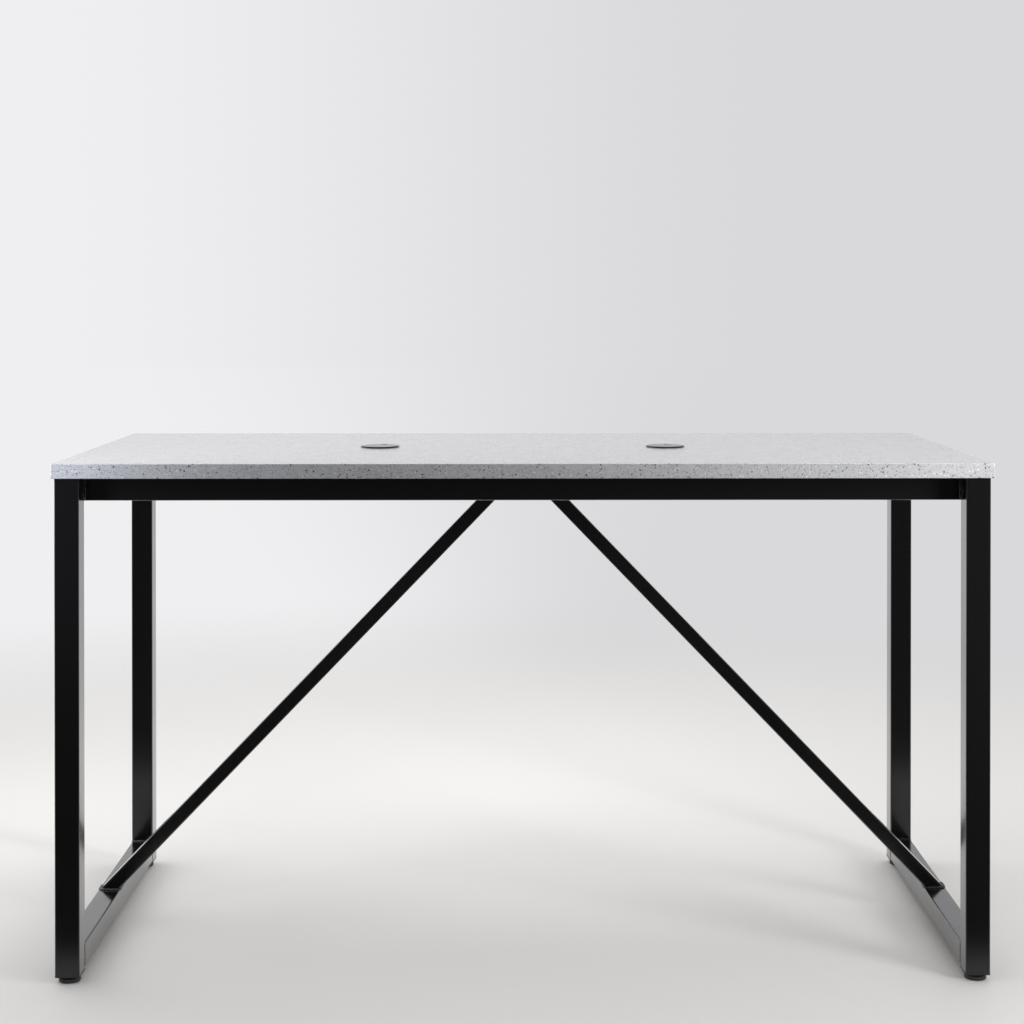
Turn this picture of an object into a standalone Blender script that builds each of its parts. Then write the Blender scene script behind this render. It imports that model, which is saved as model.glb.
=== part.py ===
"""High bench table: a speckled stone top on a welded frame of square steel tube.

Metres, +Z up. The origin is on the floor under the middle of the table, the long side
runs along X and the front faces -Y. Each physical piece is one object. The feet screw in
and out under the legs, and each cable port has a cap that lifts out and a shutter that turns.
"""

import math

import bmesh
import bpy
from mathutils import Matrix

# Worktop
TOP_LENGTH = 1.900
TOP_DEPTH = 0.800
TOP_THICKNESS = 0.030
TOP_HEIGHT = 1.050  # floor to the upper face of the top
TOP_EDGE_ROUND = 0.0015

# Square tube of the legs and rails
TUBE = 0.050
TUBE_WALL = 0.002
TUBE_CORNER = 0.004  # outside corner radius
TOP_OVERHANG = 0.005  # the top past the frame, on all four sides

# Square tube of the two braces
BRACE_TUBE = 0.030
BRACE_WALL = 0.002
BRACE_CORNER = 0.003
BRACE_DROP = 0.028  # frame's upper face down to the brace's centreline at the cross rail

# Tabs, screws and threaded inserts that hold the top down
TAB_WIDTH = 0.040
TAB_REACH = 0.036
TAB_THICKNESS = 0.004
TAB_CORNER = 0.006
TAB_SPREAD = 0.560  # middle of the table to a tab, along a long rail
SCREW_RADIUS = 0.003
SCREW_REACH = 0.014  # length of screw past the tab, inside the top
SCREW_HEAD_RADIUS = 0.006
SCREW_HEAD_HEIGHT = 0.0033
SCREW_FLAT_RADIUS = 0.0033  # flat of the domed head, round its socket
SOCKET_ACROSS_FLATS = 0.004
SOCKET_DEPTH = 0.0018
INSERT_RADIUS = 0.005
INSERT_LENGTH = 0.016
INSERT_HOLE_SPARE = 0.003  # depth left in the blind hole above the insert

# Levelling feet
FOOT_RADIUS = 0.022
PAD_HEIGHT = 0.0085
PAD_EDGE = 0.0015
PAD_FLOOR = 0.003  # plastic under the stud's disc
DISC_RADIUS = 0.0065
DISC_THICKNESS = 0.002
NECK_RADIUS = 0.004
HEX_ACROSS_FLATS = 0.017
HEX_HEIGHT = 0.004
STUD_RADIUS = 0.005
STUD_LENGTH = 0.034  # thread above the hexagon
STUD_TIP = 0.001

# Plastic end inserts in the legs
END_FLANGE = 0.0025
END_FLANGE_PROUD = 0.0004
PLUG_HEIGHT = 0.020
PLUG_WALL = 0.002
PLUG_FLOOR = 0.003
PLUG_BOSS_RADIUS = 0.009

# Cable ports
PORT_SPREAD = 0.318  # middle of the table to a port
PORT_HOLE_RADIUS = 0.040
PORT_FLANGE_RADIUS = 0.043
PORT_FLANGE_HEIGHT = 0.0027
PORT_FLANGE_EDGE = 0.0008
PORT_RIM_WIDTH = 0.0025  # flat ring left outside the cap
SLEEVE_WALL = 0.002
SLEEVE_DEPTH = 0.024
CAP_SEAT = 0.0009  # the flange's underside up to the ledge that the cap lies on
CAP_THICKNESS = 0.002
CAP_EDGE = 0.0005
SKIRT_DEPTH = 0.005
SKIRT_WALL = 0.0015
NOTCH_HALF_ANGLE = 14.6  # degrees, of a notch whose sides point at the cap's centre
NOTCH_INNER_RADIUS = 0.022
NOTCH_TURN_LEFT = -15.0  # degrees from +Y, seen from above
NOTCH_TURN_RIGHT = -12.0
SHUTTER_THICKNESS = 0.0016
SHUTTER_LAP = 3.0  # degrees that the closed blade passes each side of the notch
HUB_RADIUS = 0.008
PIN_RADIUS = 0.003
PIN_HEAD_RADIUS = 0.0045
PIN_HEAD_HEIGHT = 0.0012
RIB_WIDTH = 0.0014
RIB_INNER_RADIUS = 0.0292
RIB_DROP = 0.0005  # cap's upper face down to the top of the finger rib

# Clearance between pieces that touch or slide on each other
GAP = 0.0003

# Roundness: points on a rounded corner, and steps round a turned piece
CORNER_STEPS = 3
SMALL_TURN_STEPS = 18
FOOT_STEPS = 20
PORT_STEPS = 36

# Heights that follow, from the floor up
HEX_BOTTOM = PAD_HEIGHT + GAP
FLANGE_BOTTOM = HEX_BOTTOM + HEX_HEIGHT + GAP
LEG_BOTTOM = FLANGE_BOTTOM + END_FLANGE + GAP
TOP_UNDERSIDE = TOP_HEIGHT - TOP_THICKNESS
FRAME_TOP = TOP_UNDERSIDE - GAP
RAIL_CENTRE_HEIGHT = FRAME_TOP - TUBE / 2
BOTTOM_RAIL_TOP = LEG_BOTTOM + TUBE

# Places that follow, in plan
LEG_X = TOP_LENGTH / 2 - TOP_OVERHANG - TUBE / 2
LEG_Y = TOP_DEPTH / 2 - TOP_OVERHANG - TUBE / 2
LONG_RAIL_Y = LEG_Y - TUBE
SIDES = (("left", -1), ("right", 1))
ENDS = (("front", -1), ("rear", 1))


def clear_scene():
    for old in list(bpy.data.objects):
        bpy.data.objects.remove(old, do_unlink=True)


def make_material(name, colour, roughness, metallic=0.0):
    material = bpy.data.materials.new(name)
    material.use_nodes = True
    shader = material.node_tree.nodes["Principled BSDF"]
    shader.inputs["Base Color"].default_value = (*colour, 1.0)
    shader.inputs["Roughness"].default_value = roughness
    shader.inputs["Metallic"].default_value = metallic
    return material


def finish_mesh(name, shape):
    """Turn a bmesh into a mesh that is smooth on its curves and sharp on its edges."""
    bmesh.ops.remove_doubles(shape, verts=shape.verts[:], dist=1e-6)
    bmesh.ops.recalc_face_normals(shape, faces=shape.faces[:])
    mesh = bpy.data.meshes.new(name)
    shape.to_mesh(mesh)
    shape.free()
    mesh.shade_smooth()
    mesh.set_sharp_from_angle(angle=math.radians(32))
    return mesh


def place(name, mesh, material, location, rotation=(0.0, 0.0, 0.0)):
    """Put one piece in the scene. Pieces that are alike share a mesh and its material."""
    piece = bpy.data.objects.new(name, mesh)
    bpy.context.collection.objects.link(piece)
    if not mesh.materials:
        mesh.materials.append(material)
    piece.location = location
    piece.rotation_euler = rotation


def rounded_rectangle(width, depth, radius):
    """Outline of a rectangle with round corners, anticlockwise, as (x, y) points."""
    points = []
    corners = ((1, 1, 0), (-1, 1, 90), (-1, -1, 180), (1, -1, 270))
    for side_x, side_y, start in corners:
        centre_x = side_x * (width / 2 - radius)
        centre_y = side_y * (depth / 2 - radius)
        for step in range(CORNER_STEPS + 1):
            angle = math.radians(start + 90 * step / CORNER_STEPS)
            points.append((centre_x + radius * math.cos(angle), centre_y + radius * math.sin(angle)))
    return points


def circle(radius, steps, start=0.0):
    points = []
    for step in range(steps):
        angle = start + 2 * math.pi * step / steps
        points.append((radius * math.cos(angle), radius * math.sin(angle)))
    return points


def edge_round(centre, width, height, start, steps=2):
    """A quarter turn of a profile's corner, anticlockwise from start, in degrees."""
    points = []
    for step in range(steps + 1):
        angle = math.radians(start + 90 * step / steps)
        points.append((centre[0] + width * math.cos(angle), centre[1] + height * math.sin(angle)))
    return points


def add_loop(shape, outline, height=0.0):
    verts = [shape.verts.new((x, y, height)) for x, y in outline]
    return [shape.edges.new((verts[i - 1], verts[i])) for i in range(len(verts))]


def raise_faces(shape, faces, height):
    """Extrude flat faces straight up into a solid, and return the points at its far end."""
    raised = bmesh.ops.extrude_face_region(shape, geom=faces)
    far_points = [item for item in raised["geom"] if isinstance(item, bmesh.types.BMVert)]
    bmesh.ops.translate(shape, verts=far_points, vec=(0.0, 0.0, height))
    return far_points


def prism(outline, low, high):
    """A solid with an even section, from height low to height high."""
    shape = bmesh.new()
    edges = add_loop(shape, outline, low)
    faces = bmesh.ops.contextual_create(shape, geom=edges)["faces"]
    raise_faces(shape, faces, high - low)
    bmesh.ops.recalc_face_normals(shape, faces=shape.faces[:])
    return shape


def hollow_prism(outer, inner, length, start_slope=(0.0, 0.0), end_slope=(0.0, 0.0)):
    """A tube along +Z. A slope slides each point of that end along the tube, for a slanted cut."""
    shape = bmesh.new()
    edges = add_loop(shape, outer) + add_loop(shape, inner)
    near_points = shape.verts[:]
    faces = bmesh.ops.bridge_loops(shape, edges=edges)["faces"]
    far_points = raise_faces(shape, faces, length)
    for points, slope in ((near_points, start_slope), (far_points, end_slope)):
        for point in points:
            point.co.z += slope[0] * point.co.x + slope[1] * point.co.y
    bmesh.ops.recalc_face_normals(shape, faces=shape.faces[:])
    return shape


def turned(profile, steps, closed=False):
    """Turn a profile of (radius, height) points about Z. A closed profile makes a ring."""
    shape = bmesh.new()
    verts = [shape.verts.new((radius, 0.0, height)) for radius, height in profile]
    first = 0 if closed else 1
    edges = [shape.edges.new((verts[i - 1], verts[i])) for i in range(first, len(verts))]
    bmesh.ops.spin(
        shape, geom=verts + edges, cent=(0.0, 0.0, 0.0), axis=(0.0, 0.0, 1.0),
        angle=2 * math.pi, steps=steps, use_merge=True,
    )
    bmesh.ops.remove_doubles(shape, verts=shape.verts[:], dist=1e-6)
    bmesh.ops.recalc_face_normals(shape, faces=shape.faces[:])
    return shape


def combined(base, tool, operation):
    """Cut one solid with another, or join the two, and give the result as one bmesh."""
    pair = []
    for shape in (base, tool):
        mesh = bpy.data.meshes.new("boolean")
        shape.to_mesh(mesh)
        shape.free()
        pair.append(bpy.data.objects.new("boolean", mesh))
        bpy.context.collection.objects.link(pair[-1])
    modifier = pair[0].modifiers.new("boolean", "BOOLEAN")
    modifier.operation = operation
    modifier.solver = "EXACT"
    modifier.object = pair[1]
    evaluated = pair[0].evaluated_get(bpy.context.evaluated_depsgraph_get())
    result = bmesh.new()
    result.from_mesh(evaluated.to_mesh())
    evaluated.to_mesh_clear()
    for leftover in pair:
        mesh = leftover.data
        bpy.data.objects.remove(leftover, do_unlink=True)
        bpy.data.meshes.remove(mesh)
    return result


def moved(shape, x=0.0, y=0.0, z=0.0):
    bmesh.ops.translate(shape, verts=shape.verts[:], vec=(x, y, z))
    return shape


def square_tube(width, wall, corner, length, start_slope=(0.0, 0.0), end_slope=(0.0, 0.0)):
    bore = width - 2 * wall
    return hollow_prism(
        rounded_rectangle(width, width, corner),
        rounded_rectangle(bore, bore, corner - wall),
        length, start_slope, end_slope,
    )


# The worktop: one slab with eased edges, two port holes and a blind hole over each fixing tab
def fixing_places():
    """Name, screw position and turn of each tab: four on the long rails, two on the side rails."""
    screw_reach = TUBE / 2 + GAP + TAB_REACH / 2
    places = []
    for end, end_sign in ENDS:
        for side, side_sign in SIDES:
            y = end_sign * (LONG_RAIL_Y - screw_reach)
            places.append((f"{end}_{side}", side_sign * TAB_SPREAD, y, 0.0))
    for side, side_sign in SIDES:
        x = side_sign * (LEG_X - screw_reach)
        places.append((f"middle_{side}", x, 0.0, math.radians(90)))
    return places


def build_worktop(material):
    slab = bmesh.new()
    bmesh.ops.create_cube(slab, size=1.0)
    bmesh.ops.scale(slab, verts=slab.verts[:], vec=(TOP_LENGTH, TOP_DEPTH, TOP_THICKNESS))
    moved(slab, z=-TOP_THICKNESS / 2)
    bmesh.ops.bevel(
        slab, geom=slab.edges[:], offset=TOP_EDGE_ROUND, offset_type="OFFSET",
        segments=2, profile=0.5, affect="EDGES", material=-1,
    )
    spare = TOP_THICKNESS / 2
    for _, side_sign in SIDES:
        port_hole = prism(circle(PORT_HOLE_RADIUS, PORT_STEPS), -TOP_THICKNESS - spare, spare)
        slab = combined(slab, moved(port_hole, x=side_sign * PORT_SPREAD), "DIFFERENCE")
    blind_end = -TOP_THICKNESS + GAP + INSERT_LENGTH + INSERT_HOLE_SPARE
    blind_outline = circle(INSERT_RADIUS + GAP, SMALL_TURN_STEPS)
    for _, x, y, _ in fixing_places():
        blind_hole = prism(blind_outline, -TOP_THICKNESS - spare, blind_end)
        slab = combined(slab, moved(blind_hole, x, y), "DIFFERENCE")
    place("worktop", finish_mesh("worktop", slab), material, (0.0, 0.0, TOP_HEIGHT))


# The legs and the top side rails: each pair of legs and the rail over it meet in mitred corners
def build_end_frames(material):
    mitre_gap = GAP / math.sqrt(2)
    leg_length = RAIL_CENTRE_HEIGHT - mitre_gap - LEG_BOTTOM
    leg_mesh = finish_mesh("leg", square_tube(
        TUBE, TUBE_WALL, TUBE_CORNER, leg_length, end_slope=(0.0, -1.0)))
    rail_length = 2 * (LEG_Y - mitre_gap)
    rail_mesh = finish_mesh("top_side_rail", square_tube(
        TUBE, TUBE_WALL, TUBE_CORNER, rail_length, start_slope=(0.0, 1.0), end_slope=(0.0, -1.0)))
    along_y = (math.radians(-90), 0.0, 0.0)
    for side, side_sign in SIDES:
        for end, end_sign in ENDS:
            half_turn = math.pi if end_sign > 0 else 0.0
            place(f"leg_{end}_{side}", leg_mesh, material,
                  (side_sign * LEG_X, end_sign * LEG_Y, LEG_BOTTOM), (0.0, 0.0, half_turn))
        place(f"top_side_rail_{side}", rail_mesh, material,
              (side_sign * LEG_X, -rail_length / 2, RAIL_CENTRE_HEIGHT), along_y)


# The bottom side rails: square-cut tubes between the legs, level with the ends of the legs
def build_bottom_rails(material):
    length = 2 * (LEG_Y - TUBE / 2 - GAP)
    mesh = finish_mesh("bottom_side_rail", square_tube(TUBE, TUBE_WALL, TUBE_CORNER, length))
    along_y = (math.radians(-90), 0.0, 0.0)
    for side, side_sign in SIDES:
        place(f"bottom_side_rail_{side}", mesh, material,
              (side_sign * LEG_X, -length / 2, BOTTOM_RAIL_TOP - TUBE / 2), along_y)


# The long rails, just behind the legs, and the cross rail that joins them in the middle
def build_upper_rails(material):
    long_length = 2 * (LEG_X - TUBE / 2 - GAP)
    long_mesh = finish_mesh("long_rail", square_tube(TUBE, TUBE_WALL, TUBE_CORNER, long_length))
    along_x = (0.0, math.radians(90), 0.0)
    for end, end_sign in ENDS:
        place(f"long_rail_{end}", long_mesh, material,
              (-long_length / 2, end_sign * LONG_RAIL_Y, RAIL_CENTRE_HEIGHT), along_x)
    cross_length = 2 * (LONG_RAIL_Y - TUBE / 2 - GAP)
    cross_mesh = finish_mesh("cross_rail", square_tube(TUBE, TUBE_WALL, TUBE_CORNER, cross_length))
    along_y = (math.radians(-90), 0.0, 0.0)
    place("cross_rail", cross_mesh, material, (0.0, -cross_length / 2, RAIL_CENTRE_HEIGHT), along_y)


# The braces: each stands on a bottom side rail and leans against a side of the cross rail
def build_braces(material):
    foot_height = BOTTOM_RAIL_TOP + GAP
    run = LEG_X - TUBE / 2 - GAP
    rise = FRAME_TOP - BRACE_DROP - foot_height
    lean = math.atan2(rise, run)
    mesh = finish_mesh("brace", square_tube(
        BRACE_TUBE, BRACE_WALL, BRACE_CORNER, math.hypot(run, rise),
        start_slope=(1 / math.tan(lean), 0.0), end_slope=(-math.tan(lean), 0.0)))
    for side, side_sign in SIDES:
        half_turn = math.pi if side_sign > 0 else 0.0
        place(f"brace_{side}", mesh, material,
              (side_sign * LEG_X, 0.0, foot_height), (0.0, math.pi / 2 - lean, half_turn))


# The fixings of the top: a drilled tab on the rail, a screw from below and a threaded insert
def tab_mesh():
    outline = rounded_rectangle(TAB_WIDTH, TAB_REACH, TAB_CORNER)
    one_step = 2 * math.pi / len(outline)
    hole = circle(SCREW_RADIUS + GAP, len(outline), start=one_step)
    return finish_mesh("fixing_tab", hollow_prism(outline, hole, TAB_THICKNESS))


def screw_mesh():
    """Its origin is under the tab, where the head stops."""
    tip = TAB_THICKNESS + GAP + SCREW_REACH
    dome_width = SCREW_HEAD_RADIUS - SCREW_FLAT_RADIUS
    profile = (
        (0.0, -SCREW_HEAD_HEIGHT),
        *edge_round((SCREW_FLAT_RADIUS, 0.0), dome_width, SCREW_HEAD_HEIGHT, 270),
        (SCREW_RADIUS, 0.0),
        (SCREW_RADIUS, tip),
        (0.0, tip),
    )
    socket_radius = SOCKET_ACROSS_FLATS / math.sqrt(3)
    socket = prism(circle(socket_radius, 6), -2 * SCREW_HEAD_HEIGHT, SOCKET_DEPTH - SCREW_HEAD_HEIGHT)
    screw = combined(turned(profile, SMALL_TURN_STEPS), socket, "DIFFERENCE")
    return finish_mesh("fixing_screw", screw)


def insert_mesh():
    outer = circle(INSERT_RADIUS, SMALL_TURN_STEPS)
    bore = circle(SCREW_RADIUS + GAP, SMALL_TURN_STEPS)
    return finish_mesh("threaded_insert", hollow_prism(outer, bore, INSERT_LENGTH))


def build_fixings(tab_material, screw_material, insert_material):
    tab, screw, insert = tab_mesh(), screw_mesh(), insert_mesh()
    tab_bottom = FRAME_TOP - TAB_THICKNESS
    for name, x, y, turn in fixing_places():
        place(f"fixing_tab_{name}", tab, tab_material, (x, y, tab_bottom), (0.0, 0.0, turn))
        place(f"fixing_screw_{name}", screw, screw_material, (x, y, tab_bottom - GAP))
        place(f"threaded_insert_{name}", insert, insert_material, (x, y, TOP_UNDERSIDE + GAP))


# The plastic end inserts: a flange under the leg, a hollow plug inside it and a boss for the stud
def end_insert_mesh():
    """Its origin is at the flange's underside."""
    corner = TUBE_CORNER - TUBE_WALL - GAP
    plug_width = TUBE - 2 * TUBE_WALL - 2 * GAP
    pocket_width = plug_width - 2 * PLUG_WALL
    flange_width = TUBE + 2 * END_FLANGE_PROUD
    inside_flange = END_FLANGE / 2
    plug_top = END_FLANGE + PLUG_HEIGHT
    flange_outline = rounded_rectangle(flange_width, flange_width, TUBE_CORNER + END_FLANGE_PROUD)
    pocket_floor = END_FLANGE + PLUG_FLOOR
    body = combined(
        prism(flange_outline, 0.0, END_FLANGE),
        prism(rounded_rectangle(plug_width, plug_width, corner), inside_flange, plug_top), "UNION")
    pocket = prism(rounded_rectangle(pocket_width, pocket_width, corner), pocket_floor, 2 * plug_top)
    body = combined(body, pocket, "DIFFERENCE")
    boss = prism(circle(PLUG_BOSS_RADIUS, FOOT_STEPS), inside_flange, plug_top)
    body = combined(body, boss, "UNION")
    bore = prism(circle(STUD_RADIUS + GAP, FOOT_STEPS), -plug_top, 2 * plug_top)
    return finish_mesh("end_insert", combined(body, bore, "DIFFERENCE"))


# The levelling feet: a threaded stud turns in the insert, with its disc end held in a plastic pad
def pad_mesh():
    neck_hole = NECK_RADIUS + GAP
    cavity_radius = DISC_RADIUS + GAP
    cavity_top = PAD_FLOOR + DISC_THICKNESS + 2 * GAP
    inside_edge = FOOT_RADIUS - PAD_EDGE
    profile = (
        (0.0, 0.0),
        *edge_round((inside_edge, PAD_EDGE), PAD_EDGE, PAD_EDGE, 270),
        *edge_round((inside_edge, PAD_HEIGHT - PAD_EDGE), PAD_EDGE, PAD_EDGE, 0),
        (neck_hole, PAD_HEIGHT),
        (neck_hole, cavity_top),
        (cavity_radius, cavity_top),
        (cavity_radius, PAD_FLOOR),
        (0.0, PAD_FLOOR),
    )
    return finish_mesh("glide_pad", turned(profile, FOOT_STEPS))


def stud_mesh():
    """Its origin is on the floor, under its own axis."""
    disc_bottom = PAD_FLOOR + GAP
    disc_top = disc_bottom + DISC_THICKNESS
    hex_top = HEX_BOTTOM + HEX_HEIGHT
    inside_hex = HEX_BOTTOM + HEX_HEIGHT / 2
    tip = hex_top + STUD_LENGTH
    profile = (
        (0.0, disc_bottom),
        (DISC_RADIUS, disc_bottom),
        (DISC_RADIUS, disc_top),
        (NECK_RADIUS, disc_top),
        (NECK_RADIUS, inside_hex),
        (STUD_RADIUS, inside_hex),
        (STUD_RADIUS, tip - STUD_TIP),
        (STUD_RADIUS - STUD_TIP, tip),
        (0.0, tip),
    )
    hexagon = prism(circle(HEX_ACROSS_FLATS / math.sqrt(3), 6), HEX_BOTTOM, hex_top)
    return finish_mesh("glide_stud", combined(turned(profile, SMALL_TURN_STEPS), hexagon, "UNION"))


def build_feet(insert_material, stud_material, pad_material):
    insert, stud, pad = end_insert_mesh(), stud_mesh(), pad_mesh()
    for end, end_sign in ENDS:
        for side, side_sign in SIDES:
            x, y = side_sign * LEG_X, end_sign * LEG_Y
            place(f"end_insert_{end}_{side}", insert, insert_material, (x, y, FLANGE_BOTTOM))
            place(f"glide_stud_{end}_{side}", stud, stud_material, (x, y, 0.0))
            place(f"glide_pad_{end}_{side}", pad, pad_material, (x, y, 0.0))


# The cable ports. Heights in this section are from the worktop's upper face.
SLEEVE_RADIUS = PORT_HOLE_RADIUS - GAP
SLEEVE_BORE = SLEEVE_RADIUS - SLEEVE_WALL
FLANGE_TOP = GAP + PORT_FLANGE_HEIGHT
LEDGE_HEIGHT = GAP + CAP_SEAT
RECESS_RADIUS = PORT_FLANGE_RADIUS - PORT_RIM_WIDTH
CAP_RADIUS = RECESS_RADIUS - GAP
CAP_BOTTOM = LEDGE_HEIGHT + GAP
CAP_TOP = CAP_BOTTOM + CAP_THICKNESS
SKIRT_RADIUS = SLEEVE_BORE - GAP
SKIRT_BORE = SKIRT_RADIUS - SKIRT_WALL
BLADE_TOP = CAP_BOTTOM - GAP
BLADE_BOTTOM = BLADE_TOP - SHUTTER_THICKNESS
BLADE_RADIUS = SKIRT_BORE - GAP
PIN_HEAD_TOP = BLADE_BOTTOM - GAP


def sleeve_mesh():
    edge_centre = (PORT_FLANGE_RADIUS - PORT_FLANGE_EDGE, FLANGE_TOP - PORT_FLANGE_EDGE)
    profile = (
        (SLEEVE_RADIUS, -SLEEVE_DEPTH),
        (SLEEVE_RADIUS, GAP),
        (PORT_FLANGE_RADIUS, GAP),
        *edge_round(edge_centre, PORT_FLANGE_EDGE, PORT_FLANGE_EDGE, 0),
        (RECESS_RADIUS, FLANGE_TOP),
        (RECESS_RADIUS, LEDGE_HEIGHT),
        (SLEEVE_BORE, LEDGE_HEIGHT),
        (SLEEVE_BORE, -SLEEVE_DEPTH),
    )
    return finish_mesh("port_sleeve", turned(profile, PORT_STEPS, closed=True))


def notch_outline():
    """A notch towards +Y: radial sides that run out past the cap, joined by an arc inside."""
    half = math.radians(NOTCH_HALF_ANGLE)
    arc_centre = NOTCH_INNER_RADIUS / (1 - math.sin(half))
    arc_radius = arc_centre - NOTCH_INNER_RADIUS
    outside = 2 * PORT_FLANGE_RADIUS
    points = [(outside * math.sin(half), outside * math.cos(half)),
              (-outside * math.sin(half), outside * math.cos(half))]
    steps = 4 * CORNER_STEPS
    start, sweep = math.pi + half, math.pi - 2 * half
    for step in range(steps + 1):
        angle = start + sweep * step / steps
        points.append((arc_radius * math.cos(angle), arc_centre + arc_radius * math.sin(angle)))
    return points


def cap_mesh():
    profile = (
        (0.0, CAP_TOP),
        (CAP_RADIUS - CAP_EDGE, CAP_TOP),
        (CAP_RADIUS, CAP_TOP - CAP_EDGE),
        (CAP_RADIUS, CAP_BOTTOM),
        (SKIRT_RADIUS, CAP_BOTTOM),
        (SKIRT_RADIUS, CAP_BOTTOM - SKIRT_DEPTH),
        (SKIRT_BORE, CAP_BOTTOM - SKIRT_DEPTH),
        (SKIRT_BORE, CAP_BOTTOM),
        (PIN_RADIUS, CAP_BOTTOM),
        (PIN_RADIUS, PIN_HEAD_TOP),
        (PIN_HEAD_RADIUS, PIN_HEAD_TOP),
        (PIN_HEAD_RADIUS, PIN_HEAD_TOP - PIN_HEAD_HEIGHT),
        (0.0, PIN_HEAD_TOP - PIN_HEAD_HEIGHT),
    )
    notch = prism(notch_outline(), -SLEEVE_DEPTH, SLEEVE_DEPTH)
    return finish_mesh("port_cap", combined(turned(profile, PORT_STEPS), notch, "DIFFERENCE"))


def shutter_mesh():
    """A blade on a hub, at rest beside the notch, with its finger rib against the notch's side."""
    half = math.radians(NOTCH_HALF_ANGLE)
    rib_angle = half - (GAP + RIB_WIDTH / 2) / RIB_INNER_RADIUS
    front = math.pi / 2 + rib_angle - RIB_WIDTH / 2 / BLADE_RADIUS
    back = front + 2 * half + math.radians(2 * SHUTTER_LAP)
    steps = 4 * CORNER_STEPS
    blade = [(0.0, 0.0)]
    for step in range(steps + 1):
        angle = front + (back - front) * step / steps
        blade.append((BLADE_RADIUS * math.cos(angle), BLADE_RADIUS * math.sin(angle)))
    hub = prism(circle(HUB_RADIUS, SMALL_TURN_STEPS), BLADE_BOTTOM, BLADE_TOP)
    shape = combined(prism(blade, BLADE_BOTTOM, BLADE_TOP), hub, "UNION")
    rib_outer_radius = BLADE_RADIUS - RIB_WIDTH
    rib_outline = ((RIB_INNER_RADIUS, -RIB_WIDTH / 2), (rib_outer_radius, -RIB_WIDTH / 2),
                   (rib_outer_radius, RIB_WIDTH / 2), (RIB_INNER_RADIUS, RIB_WIDTH / 2))
    rib = prism(rib_outline, BLADE_TOP - SHUTTER_THICKNESS / 2, CAP_TOP - RIB_DROP)
    bmesh.ops.rotate(rib, verts=rib.verts[:], cent=(0.0, 0.0, 0.0),
                     matrix=Matrix.Rotation(math.pi / 2 + rib_angle, 3, "Z"))
    shape = combined(shape, rib, "UNION")
    bore = prism(circle(PIN_RADIUS + GAP, SMALL_TURN_STEPS), -SLEEVE_DEPTH, SLEEVE_DEPTH)
    return finish_mesh("port_shutter", combined(shape, bore, "DIFFERENCE"))


def build_ports(material):
    sleeve, cap, shutter = sleeve_mesh(), cap_mesh(), shutter_mesh()
    for (side, side_sign), turn in zip(SIDES, (NOTCH_TURN_LEFT, NOTCH_TURN_RIGHT)):
        centre = (side_sign * PORT_SPREAD, 0.0, TOP_HEIGHT)
        turned_as_set = (0.0, 0.0, math.radians(turn))
        place(f"port_sleeve_{side}", sleeve, material, centre)
        place(f"port_cap_{side}", cap, material, centre, turned_as_set)
        place(f"port_shutter_{side}", shutter, material, centre, turned_as_set)


def main():
    clear_scene()
    stone = make_material("speckled_stone", (0.62, 0.62, 0.61), 0.3)
    powder_coat = make_material("black_powder_coat", (0.012, 0.012, 0.013), 0.45)
    zinc = make_material("zinc_plated_steel", (0.62, 0.62, 0.60), 0.35, 1.0)
    brass = make_material("brass", (0.72, 0.52, 0.22), 0.35, 1.0)
    black_plastic = make_material("black_plastic", (0.018, 0.018, 0.019), 0.5)
    port_plastic = make_material("port_plastic", (0.02, 0.02, 0.021), 0.3)
    build_worktop(stone)
    build_end_frames(powder_coat)
    build_bottom_rails(powder_coat)
    build_upper_rails(powder_coat)
    build_braces(powder_coat)
    build_fixings(powder_coat, zinc, brass)
    build_feet(black_plastic, zinc, black_plastic)
    build_ports(port_plastic)


main()
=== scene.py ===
# High bench table: a speckled stone top on a welded frame of black square tube, on levelling
# feet, with two capped cable ports. Metres, +Z up, the front towards -Y.

import math
import random

import bmesh
import bpy
from mathutils import Matrix, Vector


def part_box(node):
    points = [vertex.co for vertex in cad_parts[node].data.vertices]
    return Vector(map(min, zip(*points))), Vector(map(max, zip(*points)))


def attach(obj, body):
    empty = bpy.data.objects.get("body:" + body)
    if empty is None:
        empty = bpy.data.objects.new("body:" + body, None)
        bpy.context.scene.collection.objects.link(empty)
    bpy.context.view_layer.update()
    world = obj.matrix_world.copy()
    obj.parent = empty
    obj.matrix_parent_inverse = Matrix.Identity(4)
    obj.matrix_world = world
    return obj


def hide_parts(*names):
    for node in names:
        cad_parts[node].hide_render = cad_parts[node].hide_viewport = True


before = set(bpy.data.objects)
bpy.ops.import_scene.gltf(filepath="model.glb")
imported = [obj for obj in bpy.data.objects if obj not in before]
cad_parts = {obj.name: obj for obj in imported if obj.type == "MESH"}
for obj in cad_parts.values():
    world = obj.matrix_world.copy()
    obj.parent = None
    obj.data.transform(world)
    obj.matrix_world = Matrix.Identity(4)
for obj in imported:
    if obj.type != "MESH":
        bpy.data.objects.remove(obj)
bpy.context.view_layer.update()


# The camera: in front of the long side and a little above the top, nearly level. Most of its
# view down comes from a shifted lens, which keeps the legs upright in the picture.
CAMERA_PLACE = (-0.0161, -4.0628, 1.3938)
CAMERA_TILT = 89.60  # degrees; 90 looks level
CAMERA_SWING = -0.47  # degrees; a little to the right
LENS = 64.03
SENSOR_WIDTH = 36.0
SHIFT_ACROSS = -0.0180
SHIFT_UP = -0.2016

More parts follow.
